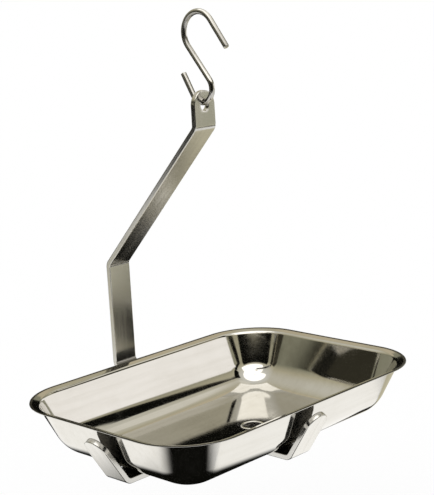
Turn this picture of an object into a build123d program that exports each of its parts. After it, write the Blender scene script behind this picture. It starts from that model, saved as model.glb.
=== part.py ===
from build123d import *
from math import asin, cos, degrees, radians, sin, tan
import os

# Weighing pan on a bent flat-bar hanger, with the S-hook that carries it from a scale.
# Millimetres. X runs along the pan's long side, the hanger's upright stands behind the pan
# at +Y, +Z is up. Sizes are drawn from the middle of the pan's mouth, at the height of its rim
# edge, and each finished piece is then moved so that the origin is the place on the S-hook's
# upper loop where the scale's own hook bears.

# ---- Weighing pan: pressed from one sheet -------------------------------------------------
pan_length = 380.0            # over the rim, along X
pan_width = 271.0             # over the rim, along Y
pan_depth = 60.0              # rim edge down to the underside of the floor
rim_corner_radius = 67.5      # rim outline, seen from above
pan_sheet = 1.2               # sheet thickness
flange_width = 9.0            # rim flange, measured inwards
flange_drop = 2.5             # how far the flange falls towards the pan
flange_bend_radius = 4.0      # outside bend between flange and wall
wall_lean = 27.0              # degrees that the wall leans in from upright
floor_sweep_radius = 43.0     # outside radius between wall and floor
rim_edge_rounding = 0.45      # eased raw edge of the sheet

# Plain coined ring in the floor
ring_radius = 12.0
ring_groove_radius = 0.9
ring_groove_depth = 0.45
ring_x = 30.0
ring_y = -12.0

# ---- Flat bar used for the hanger and its arms --------------------------------------------
bar_width = 30.0
bar_thickness = 6.0
bar_edge_rounding = 0.9
bar_bend_radius = 8.0         # to the middle of the bar's thickness

# ---- Hanger ------------------------------------------------------------------------------
seat_clearance = 0.3          # pan floor over the bars
upright_clearance = 18.2      # pan rim to the upright's near face
rear_foot_gap = 1.8           # rear foot's bend, outside where the pan's wall would meet its floor
foot_slant = 45.0             # degrees from level
upright_top_height = 108.7    # where the upright meets the incline, near face
tab_setback = 4.2             # near face of the hanging tab, behind the pan's middle
tab_foot_height = 267.1       # where the incline meets the tab, near face

# ---- Prongs that hold the pan from outside -------------------------------------------------
prong_foot_gap = 3.1          # foot bend, outside where the pan's wall would meet its floor
prong_slant = 57.0            # degrees from level
prong_tip_drop = 14.0         # rounded tip below the rim edge

# ---- Hanging hole and S-hook ---------------------------------------------------------------
hook_wire = 6.0
hole_clearance = 6.0          # hole diameter over the wire diameter
hook_seat_gap = 0.7           # wire to the top of the hole, at the middle of the tab
hook_hang_height = 294.0      # middle of the wire where it passes through the tab
lower_loop_radius = 14.5      # to the middle of the wire
upper_loop_radius = 21.3
loop_spacing = 56.5           # between the middles of the two loops
lower_arm_slant = 60.0        # degrees from level
lower_arm_length = 26.0
upper_arm_slant = 53.0
upper_arm_length = 35.0
hook_end_rounding = 0.8

# ---- Weld beads under the joint between hanger and arms ------------------------------------
bead_width = 7.0
bead_height = 1.5             # proud of the bars' underside
bead_end_margin = 2.0         # from each edge of the bar

# ---- Places that follow from the sizes above -----------------------------------------------
flange_foot = -pan_sheet - flange_drop
wall_foot_inset = flange_width + (pan_depth + flange_foot) * tan(radians(wall_lean))
sweep_half_turn = radians(90 - wall_lean) / 2
corner_room = rim_corner_radius - wall_foot_inset - 2 * pan_sheet
sweep_radius = min(floor_sweep_radius, corner_room / tan(sweep_half_turn))
floor_inset = wall_foot_inset + sweep_radius * tan(sweep_half_turn)
prong_inset = wall_foot_inset - prong_foot_gap
rear_foot_inset = wall_foot_inset - rear_foot_gap
half_bar = bar_thickness / 2
bar_top = -pan_depth - seat_clearance
bar_middle = bar_top - half_bar
bar_underside = bar_top - bar_thickness
upright_face = pan_width / 2 + upright_clearance
tab_middle = tab_setback + half_bar
hole_radius = (hook_wire + hole_clearance) / 2
hole_height = hook_hang_height + hook_wire / 2 + hook_seat_gap - hole_radius
lower_loop_height = hook_hang_height + lower_loop_radius
upper_loop_height = lower_loop_height + loop_spacing
hang_point_height = upper_loop_height + upper_loop_radius - hook_wire / 2


def bent_bar(corner_points, plane, rounded_ends):
    """Flat bar with eased edges, bent along straight runs joined by arcs, in the given plane.

    The ends to round, 0 for the first and 1 for the last, become half circles as wide as the bar.
    """
    path = plane * FilletPolyline(*corner_points, radius=bar_bend_radius)
    start = Plane(origin=path @ 0, x_dir=plane.z_dir, z_dir=path % 0)
    section = start * RectangleRounded(bar_width, bar_thickness, bar_edge_rounding)
    bar = sweep(section, path=path)
    for end in rounded_ends:
        outwards = path % end * (2 * end - 1)
        middle = path @ end - outwards * (bar_width / 2)
        face = Plane(origin=middle, x_dir=plane.z_dir, z_dir=plane.z_dir.cross(outwards))
        corners = Pos(0, bar_width / 2) * Rectangle(2 * bar_width, bar_width) - Circle(bar_width / 2)
        bar -= extrude(face * corners, amount=bar_thickness, both=True)
    return bar


def prong_points(rim_reach):
    """Foot bend and tip of a prong, as distance from the pan's middle and height."""
    foot_reach = rim_reach - prong_inset
    rise = -prong_tip_drop - bar_middle
    return [(foot_reach, bar_middle), (foot_reach + rise / tan(radians(prong_slant)), -prong_tip_drop)]


def upright_points():
    """Bends of the hanger from its rear foot to the end of the tab, along the bar's middle."""
    foot_bottom = (pan_width / 2 - rear_foot_inset, bar_middle)
    foot_run = upright_face + half_bar - foot_bottom[0]
    foot_top = (upright_face + half_bar, bar_middle + foot_run * tan(radians(foot_slant)))
    incline_run = Vector(tab_setback - upright_face, tab_foot_height - upright_top_height)
    incline_turn = radians(incline_run.get_angle(Vector(0, 1)))
    middle_shift = half_bar * tan(incline_turn / 2)
    incline_foot = (upright_face + half_bar, upright_top_height + middle_shift)
    incline_top = (tab_middle, tab_foot_height + middle_shift)
    tab_end = (tab_middle, hole_height + bar_width / 2)
    return [foot_bottom, foot_top, incline_foot, incline_top, tab_end]


def hanger_bar():
    """One bar: front prong, run under the pan, rear foot, upright, incline and hanging tab."""
    front = [(-reach, height) for reach, height in reversed(prong_points(pan_width / 2))]
    bar = bent_bar(front + upright_points(), Plane.YZ, rounded_ends=[0, 1])
    through_tab = Plane(origin=(0, tab_middle, hole_height), z_dir=(0, 1, 0))
    return bar - extrude(through_tab * Circle(hole_radius), amount=bar_thickness, both=True)


def side_arm(side):
    """Arm welded to the hanger's edge: run under the pan and prong, side is +1 or -1 along X."""
    points = [(bar_width / 2, bar_middle)] + prong_points(pan_length / 2)
    return bent_bar([(side * reach, height) for reach, height in points], Plane.XZ, rounded_ends=[1])


def arm_welds(hanger, arms):
    """One bead along the underside of each joint between the hanger and an arm."""
    length = bar_width - 2 * bead_end_margin
    beads = []
    for side in (-1, 1):
        along_joint = Plane(
            origin=(side * bar_width / 2, 0, bar_underside), x_dir=(1, 0, 0), z_dir=(0, 1, 0)
        )
        ridge = extrude(along_joint * Ellipse(bead_width / 2, bead_height), amount=length, both=True)
        round_ended = Plane((side * bar_width / 2, 0, bar_underside)) * SlotOverall(
            length, bead_width, rotation=90
        )
        bead = ridge & extrude(round_ended, amount=bead_height, both=True)
        for bar in [hanger, *arms]:
            bead -= bar
        beads.append(largest_solid(bead))
    return Compound(children=beads)


def largest_solid(shape):
    """The one piece of a cut that is more than a sliver."""
    return max(shape.solids(), key=lambda solid: solid.volume)


def pan_section():
    """Cut through the pan's wall: X is the distance in from the rim edge, Y is the height."""
    outside = FilletPolyline(
        (0, -pan_sheet),
        (flange_width, flange_foot),
        (wall_foot_inset, -pan_depth),
        (floor_inset + pan_sheet, -pan_depth),
        radius=[flange_bend_radius, sweep_radius],
    )
    section = make_face(offset(outside, amount=pan_sheet, side=Side.LEFT))
    rim_corners = section.vertices().sort_by(Axis.X)[:2]
    return fillet(rim_corners, rim_edge_rounding)


def weighing_pan():
    """Pressed pan: the wall's section carried round the rim outline, closed by a flat floor."""
    outline = RectangleRounded(pan_length, pan_width, rim_corner_radius).wire()
    start = Plane(origin=(0, -pan_width / 2, 0), x_dir=(0, 1, 0), z_dir=(1, 0, 0))
    wall = sweep(start * pan_section(), path=outline)
    floor_outline = RectangleRounded(
        pan_length - 2 * floor_inset,
        pan_width - 2 * floor_inset,
        rim_corner_radius - floor_inset,
    )
    floor = Pos(0, 0, -pan_depth) * extrude(floor_outline, amount=pan_sheet)
    groove_middle = -pan_depth + pan_sheet + ring_groove_radius - ring_groove_depth
    groove = Pos(ring_x, ring_y, groove_middle) * Torus(ring_radius, ring_groove_radius)
    return wall + floor - groove


def s_hook():
    """Round wire: lower loop through the tab, diagonal, upper loop, each with a straight arm."""
    lower_middle = Vector(tab_middle, lower_loop_height)
    loops_across = lower_loop_radius + upper_loop_radius
    # The diagonal touches both loops from opposite sides and crosses the line between their middles.
    tilt = asin(loops_across / loop_spacing)
    upwards = Vector(sin(tilt), cos(tilt))
    crossing = lower_middle + Vector(0, loop_spacing * lower_loop_radius / loops_across)
    lower_touch = crossing - upwards * (lower_loop_radius / tan(tilt))
    upper_touch = crossing + upwards * (upper_loop_radius / tan(tilt))
    lower_turn = 90 + lower_arm_slant + degrees(tilt)
    upper_turn = 90 + upper_arm_slant + degrees(tilt)
    lower_loop = JernArc(lower_touch, upwards * -1, lower_loop_radius, lower_turn)
    upper_loop = JernArc(upper_touch, upwards, upper_loop_radius, upper_turn)
    lower_arm = Line(lower_loop @ 1, lower_loop @ 1 + lower_loop % 1 * lower_arm_length)
    upper_arm = Line(upper_loop @ 1, upper_loop @ 1 + upper_loop % 1 * upper_arm_length)
    path = Plane.YZ * Wire([lower_arm, lower_loop, Line(lower_touch, upper_touch), upper_loop, upper_arm])
    start = Plane(origin=path @ 0, z_dir=path % 0)
    wire = sweep(start * Circle(hook_wire / 2), path=path)
    ends = wire.faces().filter_by(GeomType.PLANE).edges()
    return fillet(ends, hook_end_rounding)


def write_node(name, shape):
    """One sub-part to its own file, named for the node, placed from the hang point."""
    export_step(Pos(0, -tab_middle, -hang_point_height) * shape, f"parts/{name}.step")


os.makedirs("parts", exist_ok=True)
hanger = hanger_bar()
left_arm = side_arm(-1)
right_arm = side_arm(1)
write_node("s_hook", s_hook())
write_node("hanger_bar", hanger)
write_node("left_arm", left_arm)
write_node("right_arm", right_arm)
write_node("arm_welds", arm_welds(hanger, [left_arm, right_arm]))
write_node("weighing_pan", weighing_pan())
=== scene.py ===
from math import atan2, pi, radians, tan

import bmesh
import bpy
import numpy as np
from mathutils import Matrix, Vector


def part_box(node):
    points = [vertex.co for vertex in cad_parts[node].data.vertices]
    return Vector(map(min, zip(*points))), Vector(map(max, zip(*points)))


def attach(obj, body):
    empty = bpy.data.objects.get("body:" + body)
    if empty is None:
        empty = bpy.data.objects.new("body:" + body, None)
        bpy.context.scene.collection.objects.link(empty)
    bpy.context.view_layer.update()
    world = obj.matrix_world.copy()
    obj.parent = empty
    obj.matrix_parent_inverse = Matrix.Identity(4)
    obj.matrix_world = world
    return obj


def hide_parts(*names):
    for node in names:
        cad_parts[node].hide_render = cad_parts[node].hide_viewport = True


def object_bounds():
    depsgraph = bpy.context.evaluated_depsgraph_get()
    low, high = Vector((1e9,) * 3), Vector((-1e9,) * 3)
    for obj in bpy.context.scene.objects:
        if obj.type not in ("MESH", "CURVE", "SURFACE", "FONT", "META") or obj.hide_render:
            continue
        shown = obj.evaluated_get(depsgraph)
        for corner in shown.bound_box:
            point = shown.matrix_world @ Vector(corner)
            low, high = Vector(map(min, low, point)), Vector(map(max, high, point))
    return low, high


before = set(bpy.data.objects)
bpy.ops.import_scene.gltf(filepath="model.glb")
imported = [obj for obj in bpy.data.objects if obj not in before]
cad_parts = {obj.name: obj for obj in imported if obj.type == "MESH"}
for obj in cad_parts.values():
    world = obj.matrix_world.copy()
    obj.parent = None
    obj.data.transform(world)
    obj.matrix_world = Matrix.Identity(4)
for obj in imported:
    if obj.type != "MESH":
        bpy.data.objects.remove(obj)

# Weighing pan on its bent-bar hanger, hung from an S-hook: every piece is a smooth surface laid
# over its CAD node. Lengths are metres in the part's own frame, and MM turns millimetres to metres.

cad_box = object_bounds()
MM = 0.001

# ---- Places from the frame ----------------------------------------------------------------
pan_low, pan_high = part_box("weighing_pan")
bar_low, bar_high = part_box("hanger_bar")
middle_y = (pan_low.y + pan_high.y) / 2
rim_height = pan_high.z
pan_floor_height = pan_low.z
half_length = (pan_high.x - pan_low.x) / 2
half_width = (pan_high.y - pan_low.y) / 2

# ---- Sheet of the pan ----------------------------------------------------------------------
SHEET = 1.2 * MM
RIM_CORNER = 67.5 * MM
FLANGE_WIDTH = 9 * MM
FLANGE_DROP = 2.5 * MM
FLANGE_BEND = 4 * MM
WALL_LEAN = radians(27)
FLOOR_SWEEP = 43 * MM
RAW_EDGE = 0.45 * MM
HAND_WAVE = 0.04 * MM
RING_PLACE = (30 * MM, middle_y - 12 * MM)
RING_RADIUS = 12 * MM
RING_GROOVE = 1.3 * MM     # half the groove's width
RING_DEPTH = 0.45 * MM
RING_CLEAR = 2 * MM        # flat kept round the groove

# ---- Flat bar ------------------------------------------------------------------------------
BAR_WIDTH = bar_high.x - bar_low.x
BAR_THICKNESS = 6 * MM
BAR_BEND = 8 * MM
EASED_EDGE = 0.9 * MM
SEAT_GAP = 0.3 * MM
TAB_SETBACK = 7.2 * MM     # middle of the tab's thickness, behind the pan's middle
FOOT_GAP = 3.1 * MM        # prong's foot, outside where the wall would meet the floor
REAR_FOOT_GAP = 1.8 * MM
FOOT_SLANT = radians(45)
UPRIGHT_TOP = 108.7 * MM   # over the rim
TAB_FOOT = 267.1 * MM      # over the rim
PRONG_SLANT = radians(57)
PRONG_DROP = 14 * MM       # tip below the rim
TAB_HOLE = 12 * MM
HOLE_EASING = 0.4 * MM

# ---- S-hook wire ---------------------------------------------------------------------------
WIRE = 6 * MM
WIRE_EASING = 0.8 * MM
LOWER_LOOP = 14.5 * MM
UPPER_LOOP = 21.3 * MM
LOOP_SPACING = 56.5 * MM
LOWER_ARM = (radians(60), 26 * MM)   # slant from level and length
UPPER_ARM = (radians(53), 35 * MM)

# ---- Weld beads ----------------------------------------------------------------------------
BEAD_WIDTH = 7 * MM
BEAD_HEIGHT = 1.5 * MM
BEAD_LENGTH = BAR_WIDTH - 4 * MM
BEAD_RIPPLES = 11
RIPPLE_BOW = 0.45
RIPPLE_SHARE = 0.14

# ---- Spacing of the surfaces' points -------------------------------------------------------
BEND_GUARD = 0.5 * MM      # rows this far outside each bend keep its shading off the straights
FACE_GUARD = 0.35 * MM     # and this far inside the flat faces, off the eased edges
MERGE_WITHIN = 0.002 * MM
SLIVER = 0.001 * MM


# ============================================================================================
# Shapes
# ============================================================================================
class BentLine:
    """A line in a plane, made of straight runs and tangent arcs.

    Over a distance s from the start of an arc of turn rate k and heading h, the point moves by
    (sin(h + k s) - sin h, cos h - cos(h + k s)) / k. On a straight run it moves by s along h.
    """

    def __init__(self, start, heading, pieces):
        lengths, turns = np.array(pieces, float).T
        self.ends = np.concatenate([[0], np.cumsum(lengths)])
        self.rates = np.where(abs(turns) > 0, turns / lengths, 0)
        self.headings = heading + np.concatenate([[0], np.cumsum(turns)])
        self.turns = turns
        points = [np.array(start, float)]
        for i, length in enumerate(lengths):
            points.append(points[i] + self.moved(i, np.array(length)))
        self.points = np.array(points)

    def moved(self, i, s):
        """How far the point moves over a distance s from the start of piece i."""
        heading, rate = self.headings[i], self.rates[i]
        bent = abs(rate) > 0
        safe = np.where(bent, rate, 1)
        turned = heading + rate * s
        across = np.where(bent, (np.sin(turned) - np.sin(heading)) / safe, s * np.cos(heading))
        along = np.where(bent, (np.cos(heading) - np.cos(turned)) / safe, s * np.sin(heading))
        return np.stack([across, along], axis=-1)

    def at(self, s):
        """Points and left-hand normals at the distances s, as two arrays."""
        s = np.asarray(s, float)
        i = np.clip(np.searchsorted(self.ends, s, side="right") - 1, 0, len(self.rates) - 1)
        beyond = s - self.ends[i]
        turned = self.headings[i] + self.rates[i] * beyond
        normals = np.stack([-np.sin(turned), np.cos(turned)], axis=-1)
        return self.points[i] + self.moved(i, beyond), normals

    @property
    def length(self):
        return self.ends[-1]

    def rows(self, first, last, degrees_apart=3.0, spacing=12 * MM):
        """Distances for the rows of a surface: close over the arcs, guarded at both ends of each."""
        marks = []
        for low, high, turn in zip(self.ends[:-1], self.ends[1:], self.turns):
            if turn:
                steps = int(np.ceil(abs(turn) / radians(degrees_apart)))
                marks.append([low - BEND_GUARD, high + BEND_GUARD])
            else:
                steps = int(np.ceil((high - low) / spacing))
            marks.append(np.linspace(low, high, steps + 1))
        marks = np.unique(np.round(np.concatenate(marks), 7))
        kept = (marks > first + BEND_GUARD) & (marks < last - BEND_GUARD)
        return np.concatenate([[first], marks[kept], [last]])


def bent_line(corners, radii):
    """The line through these corner points, each inner corner replaced by an arc of its radius.

    An arc of radius r that turns by a takes r tan(a / 2) off the runs on both its sides.
    """
    corners = np.array(corners, float)
    legs = np.diff(corners, axis=0)
    headings = np.unwrap(np.arctan2(legs[:, 1], legs[:, 0]))
    turns = np.diff(headings)
    cuts = np.array(radii) * np.tan(abs(turns) / 2)
    runs = np.hypot(*legs.T) - np.append(cuts, 0) - np.insert(cuts, 0, 0)
    pieces = [(runs[0], 0)]
    for radius, turn, run in zip(radii, turns, runs[1:]):
        pieces += [(radius * abs(turn), turn), (run, 0)]
    return BentLine(corners[0], headings[0], pieces)


def grid_faces(rows, columns, first=0, closed_rows=False, closed_columns=False):
    """Corner numbers of the quads between neighbouring rows and columns of a grid of points."""
    i = np.arange(rows if closed_rows else rows - 1)
    j = np.arange(columns if closed_columns else columns - 1)
    i, j = (a.ravel() for a in np.meshgrid(i, j, indexing="ij"))
    after_i, after_j = (i + 1) % rows, (j + 1) % columns
    corners = ((i, j), (after_i, j), (after_i, after_j), (i, after_j))
    return first + np.stack([row * columns + column for row, column in corners], axis=1)


def skin(name, grids):
    """One closed mesh from several grids, each (points, place on the metal, closed rows, closed columns).

    The grids meet point to point, so their shared edges are merged and the faces turned outwards.
    The place on the metal is kept as the attribute that the finishes follow.
    """
    points, places, faces, first = [], [], [], 0
    for grid, place, closed_rows, closed_columns in grids:
        rows, columns = grid.shape[:2]
        points.append(grid.reshape(-1, 3))
        places.append(place.reshape(-1, 3))
        faces.append(grid_faces(rows, columns, first, closed_rows, closed_columns))
        first += rows * columns
    mesh = bpy.data.meshes.new(name)
    mesh.from_pydata(np.concatenate(points), [], np.concatenate(faces))
    mesh.attributes.new("metal_place", "FLOAT_VECTOR", "POINT")
    mesh.attributes["metal_place"].data.foreach_set("vector", np.concatenate(places).ravel())
    form = bmesh.new()
    form.from_mesh(mesh)
    bmesh.ops.remove_doubles(form, verts=form.verts, dist=MERGE_WITHIN)
    bmesh.ops.dissolve_degenerate(form, edges=form.edges, dist=SLIVER)
    bmesh.ops.recalc_face_normals(form, faces=form.faces)
    form.to_mesh(mesh)
    form.free()
    mesh.polygons.foreach_set("use_smooth", np.full(len(mesh.polygons), True))
    piece = bpy.data.objects.new(name, mesh)
    bpy.context.scene.collection.objects.link(piece)
    return piece


def quarter(radius, steps=5):
    """Rounded corner of an edge: distances r (1 - sin a) and r (1 - cos a) for a from 0 to 90 degrees."""
    a = np.linspace(0, pi / 2, steps + 1)
    return radius * (1 - np.sin(a)), radius * (1 - np.cos(a))


def edge_profile(inner, easing, thickness):
    """Inset and height of the points from the middle of one face, round the eased edge, to the other."""
    inset, drop = quarter(easing)
    top_inset = np.concatenate([[inner, (inner + easing) / 2, easing + FACE_GUARD], inset])
    top_height = thickness / 2 - np.concatenate([[0, 0, 0], drop])
    side = thickness / 2 - easing - FACE_GUARD
    return (
        np.concatenate([top_inset, [0, 0, 0], top_inset[::-1]]),
        np.concatenate([top_height, [side, 0, -side], -top_height[::-1]]),
    )


def flat_bar(name, line, lay, end_hole=0.0, square_start=False, cap_steps=24):
    """Flat bar bent along a line, with full round ends, a square first end if asked, and a hole.

    Seen flat, the outline at inset e is two straight sides at w = +-(h - e), closed by half circles
    of radius h - e about the end middles. The edge profile is carried round that outline, two
    strips of half width g close the faces, and lay puts (s, w, t) on the bent line.
    """
    h = BAR_WIDTH / 2
    g = end_hole / 2 + HOLE_EASING if end_hole else TAB_HOLE / 2
    inset, height = edge_profile(h - g, EASED_EDGE, BAR_THICKNESS)
    start_middle = h - g if square_start else h
    rows = line.rows(start_middle, line.length - h)
    a = np.linspace(-pi / 2, pi / 2, cap_steps + 1)
    side = np.broadcast_to(rows[1:-1, None], (len(rows) - 2, len(inset)))
    cap_sine, cap_cosine = np.sin(a)[:, None], np.cos(a)[:, None]
    end_cap = rows[-1] + (h - inset) * cap_cosine
    if square_start:
        start_cap = np.broadcast_to(inset, (len(a), len(inset)))
    else:
        start_cap = rows[0] - (h - inset) * cap_cosine
    around = np.concatenate([side, end_cap[::-1], side[::-1], start_cap])
    edge = np.broadcast_to(h - inset, side.shape)
    across = np.concatenate([edge, ((h - inset) * cap_sine)[::-1], -edge, (h - inset) * cap_sine])
    up = np.broadcast_to(height, around.shape)
    grids = [lay(line, around, across, up) + (True, False)]

    strip = np.broadcast_to(rows[:, None], (len(rows), len(a))).copy()
    if not square_start:
        strip[0] -= g * np.cos(a)
    strip[-1] += (-g if end_hole else g) * np.cos(a)
    strip_across = np.broadcast_to(g * np.sin(a), strip.shape)
    for face in (BAR_THICKNESS / 2, -BAR_THICKNESS / 2):
        grids.append(lay(line, strip, strip_across, np.full(strip.shape, face)) + (False, False))

    if end_hole:
        inset, drop = quarter(HOLE_EASING, 3)
        wall = end_hole / 2 + np.concatenate([inset, inset[::-1]])
        depth = BAR_THICKNESS / 2 - np.concatenate([drop, BAR_THICKNESS - drop[::-1]])
        turn = np.concatenate([a, a[1:-1] + pi])[:, None]
        ring = rows[-1] + wall * np.cos(turn)
        depth = np.broadcast_to(depth, ring.shape)
        grids.append(lay(line, ring, wall * np.sin(turn), depth) + (True, False))
    return skin(name, grids)


def laid_lengthwise(line, s, w, t):
    """Bar bent in the YZ plane: X is w, and Y and Z are the line's point plus t along its normal."""
    point, normal = line.at(s)
    bent = point + normal * t[..., None]
    return np.stack([w, bent[..., 0], bent[..., 1]], axis=-1), np.stack([s, w, t], axis=-1)


def laid_sideways(side):
    """Arm bent in the XZ plane towards side: X and Z follow the line, Y is w from the pan's middle."""

    def lay(line, s, w, t):
        point, normal = line.at(s)
        bent = point + normal * t[..., None]
        place = [side * bent[..., 0], middle_y + side * w, bent[..., 1]]
        return np.stack(place, axis=-1), np.stack([s, w, t], axis=-1)

    return lay


# ---- Heights and reaches that the bars share with the pan ----------------------------------
bar_middle = pan_floor_height - SEAT_GAP - BAR_THICKNESS / 2
flange_foot = -SHEET - FLANGE_DROP
pan_depth = rim_height - pan_floor_height
wall_foot = FLANGE_WIDTH + (pan_depth + flange_foot) * tan(WALL_LEAN)
floor_inset = wall_foot + FLOOR_SWEEP * tan((pi / 2 - WALL_LEAN) / 2)


def prong_corners(rim_reach):
    """Foot bend and tip of a prong, as reach from the pan's middle and height."""
    foot = rim_reach - wall_foot + FOOT_GAP
    tip = rim_height - PRONG_DROP
    return [(foot, bar_middle), (foot + (tip - bar_middle) / tan(PRONG_SLANT), tip)]


def hanger_line():
    """Front prong, run under the pan, rear foot, upright, incline and tab, in the YZ plane."""
    front = [(middle_y - reach, height) for reach, height in reversed(prong_corners(half_width))]
    upright_y = bar_high.y - BAR_THICKNESS / 2
    rear_foot = middle_y + half_width - wall_foot + REAR_FOOT_GAP
    foot_top = bar_middle + (upright_y - rear_foot) * tan(FOOT_SLANT)
    tab_y = middle_y + TAB_SETBACK
    run = (tab_y - upright_y, TAB_FOOT - UPRIGHT_TOP)
    shift = BAR_THICKNESS / 2 * tan(atan2(-run[0], run[1]) / 2)
    corners = front + [
        (rear_foot, bar_middle),
        (upright_y, foot_top),
        (upright_y, rim_height + UPRIGHT_TOP + shift),
        (tab_y, rim_height + TAB_FOOT + shift),
        (tab_y, bar_high.z),
    ]
    return bent_line(corners, [BAR_BEND] * (len(corners) - 2))


def arm_line():
    """From the hanger's edge under the pan to the tip of the prong, as reach and height."""
    corners = [(BAR_WIDTH / 2, bar_middle)] + prong_corners(half_length)
    return bent_line(corners, [BAR_BEND])


def rim_outline(corner_steps=28, side_steps=(30, 20)):
    """Rounded rectangle round the pan, as middles to measure from, outward directions and distances.

    A point at inset d lies at its middle plus its direction times (corner radius - d). Along a
    corner the middle stays and the direction turns; along a side the middle slides.
    """
    reach = np.array([half_length - RIM_CORNER, half_width - RIM_CORNER])
    middles, directions = [], []
    corner_signs = np.array([(1, 1), (-1, 1), (-1, -1), (1, -1)])
    for quadrant, signs in enumerate(corner_signs):
        a = quadrant * pi / 2 + np.linspace(0, pi / 2, corner_steps + 1)
        middles.append(np.broadcast_to(reach * signs, (len(a), 2)))
        directions.append(np.stack([np.cos(a), np.sin(a)], axis=1))
        share = np.linspace(0, 1, side_steps[quadrant % 2] + 1)[1:-1, None]
        next_signs = corner_signs[(quadrant + 1) % 4]
        middles.append(reach * (signs + (next_signs - signs) * share))
        directions.append(np.broadcast_to(directions[-1][-1], (len(share), 2)))
    middles = np.concatenate(middles)
    directions = np.concatenate(directions)
    rim = middles + directions * RIM_CORNER
    steps = np.hypot(*(rim - np.roll(rim, 1, axis=0)).T)
    steps[0] = 0
    return middles, directions, np.cumsum(steps)


def hand_worked(x, y):
    """How far a hand-polished sheet stands off true: the sum of three slow, slanting sine waves."""
    waves = np.sin(31 * x + 17 * y + 0.6)
    waves = waves + np.sin(-23 * x + 41 * y + 2.1)
    waves = waves + np.sin(54 * x - 9 * y + 4.0)
    return HAND_WAVE * waves


def weighing_pan():
    """Pressed pan: the wall's section carried round the rim outline, then rays in to the ring mark.

    The section is the bent line of the underside at t = 0 and the inside at t = one sheet, joined
    round the raw edge. On the floor each ray runs straight to the middle of the ring, whose groove
    is a cosine dip.
    """
    line = bent_line(
        [
            (0, rim_height - SHEET),
            (FLANGE_WIDTH, rim_height + flange_foot),
            (wall_foot, pan_floor_height),
            (floor_inset + SHEET, pan_floor_height),
        ],
        [FLANGE_BEND, FLOOR_SWEEP],
    )
    rows = line.rows(RAW_EDGE, line.length - SHEET, degrees_apart=2.5, spacing=6 * MM)
    inset, drop = quarter(RAW_EDGE, 4)
    s = np.concatenate([rows[::-1], inset[1:], inset[::-1][1:-1], rows])
    on_inside, on_underside = np.full(len(rows), SHEET), np.zeros(len(rows))
    t = np.concatenate([on_inside, SHEET - drop[1:], drop[::-1][1:-1], on_underside])
    point, normal = line.at(s)
    section = point + normal * t[:, None]
    middles, directions, around = rim_outline()
    flat = middles[:, None] + directions[:, None] * (RIM_CORNER - section[:, 0])[None, :, None]
    height = np.broadcast_to(section[:, 1], flat.shape[:2])
    height = height + hand_worked(flat[..., 0], flat[..., 1])
    wall = np.stack([flat[..., 0], flat[..., 1] + middle_y, height], axis=-1)
    round_rim, down_wall = np.broadcast_arrays(around[:, None], s)
    grids = [(wall, np.stack([round_rim, down_wall, height], axis=-1), True, False)]

    over_groove = RING_RADIUS + RING_GROOVE * np.linspace(1, -1, 13)
    within_ring = np.linspace(RING_RADIUS - RING_GROOVE, 0, 8)[1:]
    ring_rows = np.concatenate([over_groove, within_ring])
    near = ring_rows[0] + RING_CLEAR
    shares = np.linspace(0, 1, 22)
    inside = (wall[:, 0], pan_floor_height + SHEET, RING_DEPTH)
    underside = (wall[:, -1], pan_floor_height, 0)
    for edge, level, depth in (inside, underside):
        ray = edge[:, :2] - np.array(RING_PLACE)
        far = np.hypot(*ray.T)[:, None]
        to_ring = far + (near - far) * shares
        distance = np.concatenate([to_ring, np.broadcast_to(ring_rows, (len(far), len(ring_rows)))], axis=1)
        flat = np.array(RING_PLACE) + ray[:, None] / far[..., None] * distance[..., None]
        off_ring = np.clip((distance - RING_RADIUS) / RING_GROOVE, -1, 1)
        dip = depth * (1 + np.cos(pi * off_ring)) / 2
        height = level + hand_worked(flat[..., 0], flat[..., 1] - middle_y) - dip
        floor = np.concatenate([flat, height[..., None]], axis=-1)
        grids.append((floor, floor.copy(), True, False))
    return skin("pressed_pan", grids)


def hook_line():
    """Lower arm, lower loop, diagonal, upper loop and upper arm of the S, in the YZ plane.

    The diagonal touches both loops from opposite sides, so it leans by the angle whose sine is the
    sum of the loops' radii over the distance between their middles.
    """
    tilt = np.arcsin((LOWER_LOOP + UPPER_LOOP) / LOOP_SPACING)
    diagonal = LOOP_SPACING * np.cos(tilt)
    lower_turn = pi / 2 + LOWER_ARM[0] + tilt
    upper_turn = pi / 2 + UPPER_ARM[0] + tilt
    pieces = [
        (LOWER_ARM[1], 0),
        (LOWER_LOOP * lower_turn, -lower_turn),
        (diagonal, 0),
        (UPPER_LOOP * upper_turn, upper_turn),
        (UPPER_ARM[1], 0),
    ]
    rising = pi / 2 - tilt
    trial = BentLine((0, 0), rising + lower_turn, pieces)
    # The top of the upper loop is where its heading is level; the wire's inside there is the origin.
    top = trial.ends[3] + UPPER_LOOP * (pi - rising)
    crest = trial.at(top)[0]
    start = (-crest[0], WIRE / 2 - crest[1])
    return BentLine(start, rising + lower_turn, pieces)


def s_hook(steps=32):
    """Round wire: a circle of radius r carried along the S, with eased ends closed to a point."""
    line = hook_line()
    inset, from_end = quarter(WIRE_EASING, 4)
    small = WIRE / 2 - inset
    rows = line.rows(WIRE_EASING, line.length - WIRE_EASING, degrees_apart=4, spacing=5 * MM)
    s = np.concatenate([[0], from_end, rows[1:-1], line.length - from_end[::-1], [line.length]])
    r = np.concatenate([[0], small, np.full(len(rows) - 2, WIRE / 2), small[::-1], [0]])
    a = np.linspace(0, 2 * pi, steps, endpoint=False)
    s = np.broadcast_to(s[:, None], (len(s), steps))
    point, normal = line.at(s)
    bent = point + normal * (r[:, None] * np.sin(a))[..., None]
    wire = np.stack([r[:, None] * np.cos(a), bent[..., 0], bent[..., 1]], axis=-1)
    place = np.stack([s, np.broadcast_to(a * WIRE / 2, s.shape), s * 0], axis=-1)
    return skin("s_hook_wire", [(wire, place, False, True)])


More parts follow.
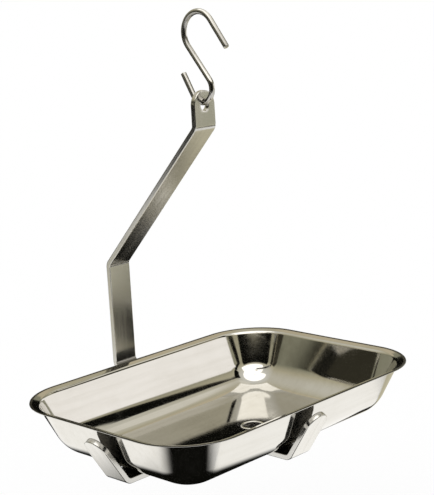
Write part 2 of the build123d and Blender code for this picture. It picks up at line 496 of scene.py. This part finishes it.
def weld_beads(rows=66, columns=24):
    """Two rippled beads under the joints between the hanger and the arms.

    Across the bead the height is H sqrt(1 - b^2), it closes over the last half width at each end,
    and each ripple is a curved swell that adds up to a seventh of the height.
    """
    a = np.linspace(-1, 1, rows)[:, None]
    b = np.sin(np.linspace(-pi / 2, pi / 2, columns))
    from_end = (1 - abs(a)) * BEAD_LENGTH / BEAD_WIDTH
    closing = np.sqrt(np.clip(1 - np.clip(1 - from_end, 0, 1) ** 2, 0, 1))
    ripple = 0.5 + 0.5 * np.cos(2 * pi * (BEAD_RIPPLES / 2 * a + RIPPLE_BOW * b**2))
    height = BEAD_HEIGHT * closing * np.sqrt(np.clip(1 - b**2, 0, 1))
    height = height * (1 - RIPPLE_SHARE + RIPPLE_SHARE * ripple)
    underside = bar_middle - BAR_THICKNESS / 2
    x = np.broadcast_to(b * BEAD_WIDTH / 2 * closing, height.shape)
    y = np.broadcast_to(middle_y + a * BEAD_LENGTH / 2, height.shape)
    grids = []
    for side in (-1, 1):
        for sink in (height, 0 * height):
            bead = np.stack([side * BAR_WIDTH / 2 + x, y, underside - sink], axis=-1)
            grids.append((bead, bead.copy(), False, False))
    return skin("weld_bead_pair", grids)


# ============================================================================================
# Finishes
# ============================================================================================
class Value:
    """A node socket whose arithmetic adds Math nodes, so that shader sums read as sums."""

    def __init__(self, finish, socket):
        self.finish = finish
        self.socket = socket

    def _math(self, operation, *inputs):
        return self.finish.node("ShaderNodeMath", {"operation": operation}, dict(enumerate(inputs)))

    def __add__(self, other):
        return self._math("ADD", self, other)

    def __radd__(self, other):
        return self._math("ADD", other, self)

    def __mul__(self, other):
        return self._math("MULTIPLY", self, other)

    def __rmul__(self, other):
        return self._math("MULTIPLY", other, self)


class Finish:
    """A material with one metal shader; node() adds any node and links or sets its sockets."""

    def __init__(self, name):
        self.material = bpy.data.materials.new(name)
        self.material.use_nodes = True
        self.tree = self.material.node_tree
        self.shader = self.tree.nodes["Principled BSDF"]

    def node(self, kind, settings=None, inputs=None, output=0):
        made = self.tree.nodes.new(kind)
        for key, value in (settings or {}).items():
            if key == "stops":
                ramp = made.color_ramp
                ramp.elements[0].position, ramp.elements[1].position = value[0][0], value[-1][0]
                for place, _ in value[1:-1]:
                    ramp.elements.new(place)
                for element, (_, colour) in zip(ramp.elements, value):
                    element.color = colour
            else:
                setattr(made, key, value)
        for socket, value in (inputs or {}).items():
            self.put(made.inputs[socket], value)
        return Value(self, made.outputs[output])

    def put(self, socket, value):
        if isinstance(value, Value):
            self.tree.links.new(value.socket, socket)
        else:
            socket.default_value = value

    def set(self, **inputs):
        for name, value in inputs.items():
            self.put(self.shader.inputs[name.replace("_", " ")], value)

    def mix(self, factor, first, second):
        """Colour between first and second."""
        return self.node("ShaderNodeMix", {"data_type": "RGBA"}, {0: factor, 6: first, 7: second}, output=2)

    def noise(self, place, scale, detail=2.0, roughness=0.5, distortion=0.0):
        inputs = {
            "Vector": place,
            "Scale": scale,
            "Detail": detail,
            "Roughness": roughness,
            "Distortion": distortion,
        }
        return self.node("ShaderNodeTexNoise", {}, inputs)

    def clamped(self, value, low, high):
        """0 where the value is low, 1 where it is high, and in proportion between them."""
        inputs = {"Value": value, "From Min": low, "From Max": high, "To Min": 0.0, "To Max": 1.0}
        return self.node("ShaderNodeMapRange", {"clamp": True}, inputs)

    def stretched(self, place, scale):
        return self.node("ShaderNodeMapping", {}, {"Vector": place, "Scale": scale})

    def bump(self, height, distance, under=None):
        """Normal of a relief of this height, laid over the normal given as under."""
        inputs = {"Height": height, "Distance": distance, "Strength": 1.0}
        if under is not None:
            inputs["Normal"] = under
        return self.node("ShaderNodeBump", {}, inputs)

    def height(self, place):
        """The Z of a place."""
        return self.node("ShaderNodeSeparateXYZ", {}, {0: place}, output=2)

    def glow(self, colour):
        """Even light of this colour, for the studio's own surfaces."""
        return self.node("ShaderNodeEmission", {}, {"Color": colour})

    def surface(self, value):
        """Shows this shader in place of the metal one."""
        self.tree.links.new(value.socket, self.tree.nodes["Material Output"].inputs["Surface"])


BRIGHT = (0.66, 0.645, 0.605, 1)
DULL = (0.56, 0.54, 0.49, 1)
# Near-black colour for painted shade: the rim's edge, the prongs' inner faces and dark streaks on the wire.
PAINTED_SHADE_STEEL = (0.08, 0.074, 0.06, 1)
WELD_BRIGHT = (0.56, 0.53, 0.47, 1)
WELD_TINT = (0.42, 0.36, 0.27, 1)
HAZE_SCALE = 14.0
SMUDGE_SCALE = 55.0
WAVE_SCALE = 11.0
BROADER = 6                # how much wider the broad lines are than the fine ones
SMEAR = 0.05               # roughness that haze or a finger mark adds
RAW_ROUGHNESS = 0.25


def polished_steel(name, roughness, line_depth, wave_depth, line_stretch, on_metal=True, dull_with_painted_shade=None):
    """Polished stainless: fine lines along the metal, slow waves in the mirror, haze and finger marks.

    The share that the last argument gives is made rougher and darkened towards a near-black colour: painted
    shade and painted dark reflection, and on the rim partly a duller cut edge as well.
    """
    finish = Finish(name)
    place = finish.node("ShaderNodeTexCoord", output=3)
    along = place
    if on_metal:
        along = finish.node("ShaderNodeAttribute", {"attribute_name": "metal_place"}, output=1)
    broad_stretch = tuple(scale / BROADER for scale in line_stretch)
    lines = finish.noise(finish.stretched(along, line_stretch), 1.0, detail=4.0, roughness=0.65)
    broad_lines = finish.noise(finish.stretched(along, broad_stretch), 1.0, detail=2.0)
    haze = finish.clamped(finish.noise(place, HAZE_SCALE, detail=5.0, roughness=0.6), 0.42, 0.72)
    smudge = finish.clamped(finish.noise(place, SMUDGE_SCALE, detail=3.0, distortion=1.2), 0.62, 0.78)
    waves = finish.noise(place, WAVE_SCALE, detail=1.0)
    streak = finish.clamped(broad_lines, 0.35, 0.7)
    colour = finish.mix(streak * 0.35 + haze * 0.4, BRIGHT, DULL)
    rough = roughness + streak * (roughness / 2) + haze * SMEAR + smudge * SMEAR
    if dull_with_painted_shade:
        dull_and_painted_shade = dull_with_painted_shade(finish, place, along)
        # Painted shade: the masked share is darkened towards the near-black colour.
        colour = finish.mix(dull_and_painted_shade, colour, PAINTED_SHADE_STEEL)
        rough = rough + dull_and_painted_shade * RAW_ROUGHNESS
    bumps = finish.bump(lines, line_depth, under=finish.bump(waves, wave_depth))
    finish.set(Base_Color=colour, Metallic=1.0, Roughness=rough, Normal=bumps)
    return finish.material


def sheared_rim_and_painted_shade(finish, place, along):
    """The rim's cut edge and the outer 2 mm or so of its falling flange, both told by their height: made
    rougher, as a cut edge is, and painted dark, which is painted shade along the rim.
    """
    return finish.clamped(finish.height(place), rim_height - 0.85 * MM, rim_height - 0.6 * MM)


def painted_shade_inside_prongs(finish, place, along):
    """The face of the bars turned to the pan, below the rim, made rougher and painted dark: painted shade
    between the bars and the pan's wall.
    """
    face = BAR_THICKNESS / 2
    below = finish.clamped(finish.height(place), rim_height - 2 * MM, rim_height - 8 * MM)
    return below * finish.clamped(finish.height(along), face - 0.9 * MM, face - 0.3 * MM)


def painted_wire_reflection(finish, place, along):
    """Dark streaks along the wire, which are painted dark reflection."""
    lines = finish.noise(finish.stretched(along, (10, 420, 420)), 1.0, detail=2.0)
    return finish.clamped(lines, 0.4, 0.62) * 0.6


def weld_metal():
    """Satin weld bead with fine grain and faint, patchy heat tints."""
    finish = Finish("satin_weld")
    place = finish.node("ShaderNodeTexCoord", output=3)
    grain = finish.noise(place, 1500.0, detail=4.0)
    tint = finish.clamped(finish.noise(place, 160.0, detail=2.0), 0.35, 0.7)
    finish.set(
        Base_Color=finish.mix(tint, WELD_BRIGHT, WELD_TINT),
        Metallic=1.0,
        Roughness=grain * 0.2 + 0.24,
        Normal=finish.bump(grain, 0.02 * MM),
    )
    return finish.material


pan_steel = polished_steel(
    "mirror_polished_sheet",
    roughness=0.05,
    line_depth=0.004 * MM,
    wave_depth=0.05 * MM,
    line_stretch=(60, 900, 900),
    on_metal=False,
    dull_with_painted_shade=sheared_rim_and_painted_shade,
)
bar_steel = polished_steel(
    "polished_flat_bar",
    roughness=0.15,
    line_depth=0.0025 * MM,
    wave_depth=0.02 * MM,
    line_stretch=(40, 1200, 1200),
    dull_with_painted_shade=painted_shade_inside_prongs,
)
wire_steel = polished_steel(
    "polished_round_wire",
    roughness=0.1,
    line_depth=0.004 * MM,
    wave_depth=0.01 * MM,
    line_stretch=(50, 900, 900),
    dull_with_painted_shade=painted_wire_reflection,
)


# ============================================================================================
# The object
# ============================================================================================
def fit(piece, body, slot, material, *nodes):
    """The piece moves with its body, stands for its nodes and takes the finish given; the slot is not used.
    """
    piece.data.materials.append(material)
    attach(piece, body)
    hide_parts(*nodes)


hanger = flat_bar("bent_hanger_bar", hanger_line(), laid_lengthwise, end_hole=TAB_HOLE)
fit(s_hook(), "hook", "hook_wire", wire_steel, "s_hook")
fit(hanger, "hanger", "flat_bar", bar_steel, "hanger_bar")
for side, label in ((-1, "left"), (1, "right")):
    arm = flat_bar(f"{label}_prong_arm", arm_line(), laid_sideways(side), square_start=True)
    fit(arm, "hanger", "flat_bar", bar_steel, f"{label}_arm")
fit(weld_beads(), "hanger", "weld_metal", weld_metal(), "arm_welds")
fit(weighing_pan(), "pan", "pan_sheet", pan_steel, "weighing_pan")


# ============================================================================================
# Studio
# ============================================================================================
FLOOR_HEIGHT = cad_box[0].z - 0.22
HALF_FLOOR = 300.0
FLOOR_PAINT = (0.44, 0.44, 0.44, 1)
FLOOR_GLOW = 0.56
STUDIO_MIDDLE = np.array([0, middle_y, (rim_height + pan_floor_height) / 2])
DOME_RADIUS = 4.0

# How far the cards hang from the pan's middle, and how far those on the floor lie over it.
CARD_DISTANCE = 1.2
BEHIND_CARDS = 1.25
BEFORE_CARDS = 1.17
NEAREST_CARD = 1.16
LIGHT_LIFT = 4 * MM
FLAG_LIFT = 6 * MM
RUNNER_LIFT = 8 * MM

# What the cards give off.
OVERHEAD_WHITE = (1.9, 1.87, 1.82)
FLOOR_WHITE = (1.25, 1.24, 1.22)
SIDE_WHITE = (1.24, 1.21, 1.19)
WARM_WHITE = (0.86, 0.83, 0.74)
STRAW = (0.74, 0.72, 0.58)
FLOOR_STRAW = (0.64, 0.6, 0.45)
SAND = (0.63, 0.56, 0.41)
LINEN = (0.62, 0.6, 0.5)
STONE = (0.46, 0.455, 0.36)
SHADE = (0.1, 0.095, 0.07)
OLIVE = (0.038, 0.035, 0.024)
BLACK = (0.004, 0.004, 0.003)

# The dome's tone at shares of its height.
ROOM_TONES = [
    (0.0, (0.37, 0.36, 0.28, 1)),
    (0.5, (0.29, 0.285, 0.21, 1)),
    (0.68, (0.56, 0.52, 0.38, 1)),
    (0.9, (0.8, 0.79, 0.74, 1)),
]


def stand(name, points, faces, material, seen_by_lens=False):
    """A studio piece: the floor is seen by the lens, cards and dome only in the metal."""
    mesh = bpy.data.meshes.new(name)
    mesh.from_pydata(points, [], faces)
    mesh.materials.append(material)
    made = bpy.data.objects.new(name, mesh)
    bpy.context.scene.collection.objects.link(made)
    if not seen_by_lens:
        made.visible_camera = False
        made.visible_diffuse = False
        made.visible_shadow = False
        made.visible_transmission = False
    return made


def pale_paint():
    """Paint under the light, which takes the object's shadow, and over it a glow that makes it white."""
    finish = Finish("pale_floor")
    finish.set(Base_Color=FLOOR_PAINT, Roughness=0.9, Specular_IOR_Level=0.0)
    rays = finish.node("ShaderNodeLightPath").socket.node.outputs
    seen = Value(finish, rays["Is Camera Ray"]) + Value(finish, rays["Is Glossy Ray"])
    seen = seen + Value(finish, rays["Is Transmission Ray"])
    finish.set(Emission_Strength=seen * FLOOR_GLOW, Emission_Color=(1, 1, 1, 1))
    return finish.material


def soft_glow(name, colour, feather, sizes):
    """Even glow that fades out over the feather, measured in metres from the card's edge."""
    finish = Finish(name)
    place = finish.node("ShaderNodeUVMap", {"uv_map": "card"})
    split = finish.node("ShaderNodeSeparateXYZ", {}, {0: place}).socket.node
    fades = []
    for output, size in zip(split.outputs, sizes):
        part = Value(finish, output)
        from_middle = finish.node("ShaderNodeMath", {"operation": "ABSOLUTE"}, {0: part})
        inputs = {0: from_middle, 1: size / 2 - feather, 2: size / 2, 3: 1.0, 4: 0.0}
        fades.append(finish.node("ShaderNodeMapRange", {"interpolation_type": "SMOOTHSTEP"}, inputs))
    clear = finish.node("ShaderNodeBsdfTransparent")
    shown = {0: fades[0] * fades[1], 1: clear, 2: finish.glow(colour)}
    finish.surface(finish.node("ShaderNodeMixShader", {}, shown))
    return finish.material


def direction(azimuth, elevation):
    """Unit vector: azimuth is from +Y towards +X, elevation above level, in degrees."""
    a, e = np.radians(azimuth), np.radians(elevation)
    return np.stack([np.sin(a) * np.cos(e), np.cos(a) * np.cos(e), np.sin(e)], axis=-1)


def between(corners, steps=12):
    """Even steps between four corners: both their coordinates, and shares counted from the middle.

    The corners are bottom left, bottom right, top right and top left. A point at shares a across
    and u up takes (1 - a)(1 - u), a (1 - u), a u and (1 - a) u of them.
    """
    across, up = np.meshgrid(np.linspace(0, 1, steps + 1), np.linspace(0, 1, steps + 1))
    shares = ((1 - across) * (1 - up), across * (1 - up), across * up, (1 - across) * up)
    first, second = (sum(share * corner[i] for share, corner in zip(shares, corners)) for i in (0, 1))
    return first, second, np.stack([across - 0.5, up - 0.5], axis=-1)


def hang(name, points, from_middle, colour, feather, sizes):
    """A grid of points as a glowing card; its sizes turn the shares from its middle into metres."""
    glow = soft_glow(name + "_glow", (*colour, 1), feather, sizes)
    made = stand(name, points.reshape(-1, 3), grid_faces(*points.shape[:2]), glow)
    corner_points = np.empty(len(made.data.loops), np.int32)
    made.data.loops.foreach_get("vertex_index", corner_points)
    places = (from_middle * sizes).reshape(-1, 2)[corner_points]
    made.data.uv_layers.new(name="card").data.foreach_set("uv", places.ravel())


def card(name, corners, colour, feather=0.04, distance=CARD_DISTANCE):
    """A curved card round the pan's middle, its corners given as azimuth and elevation."""
    azimuth, elevation, from_middle = between(corners)
    points = STUDIO_MIDDLE + distance * direction(azimuth, elevation)
    turns = np.radians(np.ptp(corners, axis=0))
    sizes = turns * distance * (np.cos(radians(corners[0][1])), 1)
    hang(name, points, from_middle, colour, feather, sizes)


def floor_card(name, corners, colour, feather, lift=LIGHT_LIFT):
    """A card lying just over the floor, its corners given as X and Y."""
    x, y, from_middle = between(corners)
    points = np.stack([x, y, np.full_like(x, FLOOR_HEIGHT + lift)], axis=-1)
    first, along_bottom, _, up_side = np.array(corners)
    sizes = np.hypot(*np.transpose([along_bottom - first, up_side - first]))
    hang(name, points, from_middle, colour, feather, sizes)


def dome(rows=24, columns=64):
    """Dim warm room round the object: a quarter turn of elevation for each azimuth, open at the floor."""
    e = np.linspace(0, pi / 2, rows)[:, None]
    a = np.linspace(0, 2 * pi, columns, endpoint=False)
    points = np.stack([np.cos(e) * np.cos(a), np.cos(e) * np.sin(a), np.sin(e) + 0 * a], axis=-1)
    points = points.reshape(-1, 3) * DOME_RADIUS + (0, 0, FLOOR_HEIGHT)
    finish = Finish("dim_room")
    height = finish.height(finish.node("ShaderNodeTexCoord", output=3))
    share = finish.clamped(height, FLOOR_HEIGHT, FLOOR_HEIGHT + DOME_RADIUS)
    tone = finish.node("ShaderNodeValToRGB", {"stops": ROOM_TONES}, {0: share})
    finish.surface(finish.glow(tone))
    stand("studio_dome", points, grid_faces(rows, columns, closed_columns=True), finish.material)


signs = np.array([(-1, -1), (1, -1), (1, 1), (-1, 1)])
floor_corners = np.column_stack([signs * HALF_FLOOR, np.full(4, FLOOR_HEIGHT)])
stand("studio_floor", floor_corners, [(0, 1, 2, 3)], pale_paint(), seen_by_lens=True)
dome()

card("side_light", ((58, 9), (146, 9), (146, 37), (70, 23)), SIDE_WHITE, 0.05)
card("warm_panel", ((58, 40), (92, 40), (86, 58), (58, 58)), WARM_WHITE, 0.1, distance=BEHIND_CARDS)
card("flange_panel", ((24, 28), (64, 28), (64, 38), (24, 38)), SAND, 0.03)
card("side_flag", ((136, 37), (94, 40), (100, 54), (132, 50)), BLACK, 0.03)
card("corner_flag", ((134, 36), (168, 30), (168, 36), (134, 45)), BLACK, 0.02)
card("lens_side_flag", ((-183, -10), (-72, -10), (-72, 46), (-183, 46)), BLACK, 0.03)
card("overhead_light", ((-200, 48), (-92, 50), (-30, 89.5), (-230, 89.5)), OVERHEAD_WHITE, 0.03)
card("overhead_light_far", ((-20, 62), (160, 61), (160, 89.5), (-90, 89.5)), OVERHEAD_WHITE, 0.03)
card("back_left_flag", ((-64, 24), (-38, 24), (-37, 39), (-64, 39)), OLIVE)
card("back_flag", ((-34, -6), (22, -6), (20, 6), (-34, 22)), OLIVE, 0.05)
card("far_flag", ((18, -12), (60, -12), (58, 23), (14, 26)), BLACK)
card("upright_panel", ((112, -30), (156, -30), (156, 4), (112, 4)), STRAW, 0.05)
card("upright_shade", ((98, -16), (138, -16), (133, -1), (98, -3)), SHADE, 0.06, distance=BEFORE_CARDS)
card("tab_panel", ((121, 1), (152, 1), (152, 17), (121, 15)), STONE, 0.03, distance=NEAREST_CARD)
card("tab_side_flag", ((-66, 2), (-28, 2), (-28, 21), (-66, 21)), BLACK, 0.03)
card("side_panel", ((-68, -26), (-30, -26), (-30, 0), (-68, 0)), LINEN, 0.08)

left_strip = ((-0.33, -0.5), (-0.05, -0.5), (-0.05, 1.6), (-0.33, 1.6))
right_strip = ((0.0, -0.3), (0.45, -0.3), (0.43, 0.3), (0.0, -0.1))
far_right = ((0.44, -0.3), (1.9, -0.3), (1.9, 0.9), (0.42, 0.5))
behind = ((-0.2, 0.5), (0.5, 0.5), (1.9, 1.9), (-0.2, 1.9))
beside = ((0.37, -0.03), (0.5, -0.03), (0.5, 0.13), (0.37, 0.13))
slantwise = ((-0.43, -0.19), (-0.2, -0.39), (1.9, 1.25), (0.75, 1.9))
floor_card("left_floor_light", left_strip, FLOOR_WHITE, 0.03)
floor_card("right_floor_light", right_strip, FLOOR_WHITE, 0.03)
floor_card("warm_floor", far_right, FLOOR_STRAW, 0.05)
floor_card("back_runner", behind, BLACK, 0.05, lift=FLAG_LIFT)
floor_card("right_flag", beside, BLACK, 0.02, lift=FLAG_LIFT)
floor_card("dark_runner", slantwise, BLACK, 0.06, lift=RUNNER_LIFT)

world = bpy.data.worlds.new("studio_air")
bpy.context.scene.world = world
world.use_nodes = True
world.node_tree.nodes["Background"].inputs["Color"].default_value = (1, 1, 1, 1)
world.node_tree.nodes["Background"].inputs["Strength"].default_value = 1.0

# ---- Camera --------------------------------------------------------------------------------
SENSOR_WIDTH = 36          # in millimetres, like the focal length
FOCAL_LENGTH = 93.6
SEES_AS_FAR_AS = 900
LENS_RIGHT = (0.69011, -0.72167, -0.05423)
LENS_UP = (0.17952, 0.09811, 0.97885)
LENS_BACK = (-0.70109, -0.68525, 0.19726)
LENS_PLACE = (-0.9433, -0.9311, 0.0248)

lens = bpy.data.cameras.new("viewpoint")
lens.sensor_width = SENSOR_WIDTH
lens.lens = FOCAL_LENGTH
lens.clip_end = SEES_AS_FAR_AS
viewpoint = bpy.data.objects.new("viewpoint", lens)
bpy.context.scene.collection.objects.link(viewpoint)
turned = np.transpose([LENS_RIGHT, LENS_UP, LENS_BACK, LENS_PLACE])
viewpoint.matrix_world = Matrix([*turned.tolist(), [0, 0, 0, 1]])
bpy.context.scene.camera = viewpoint
bpy.context.scene.view_settings.view_transform = "Standard"
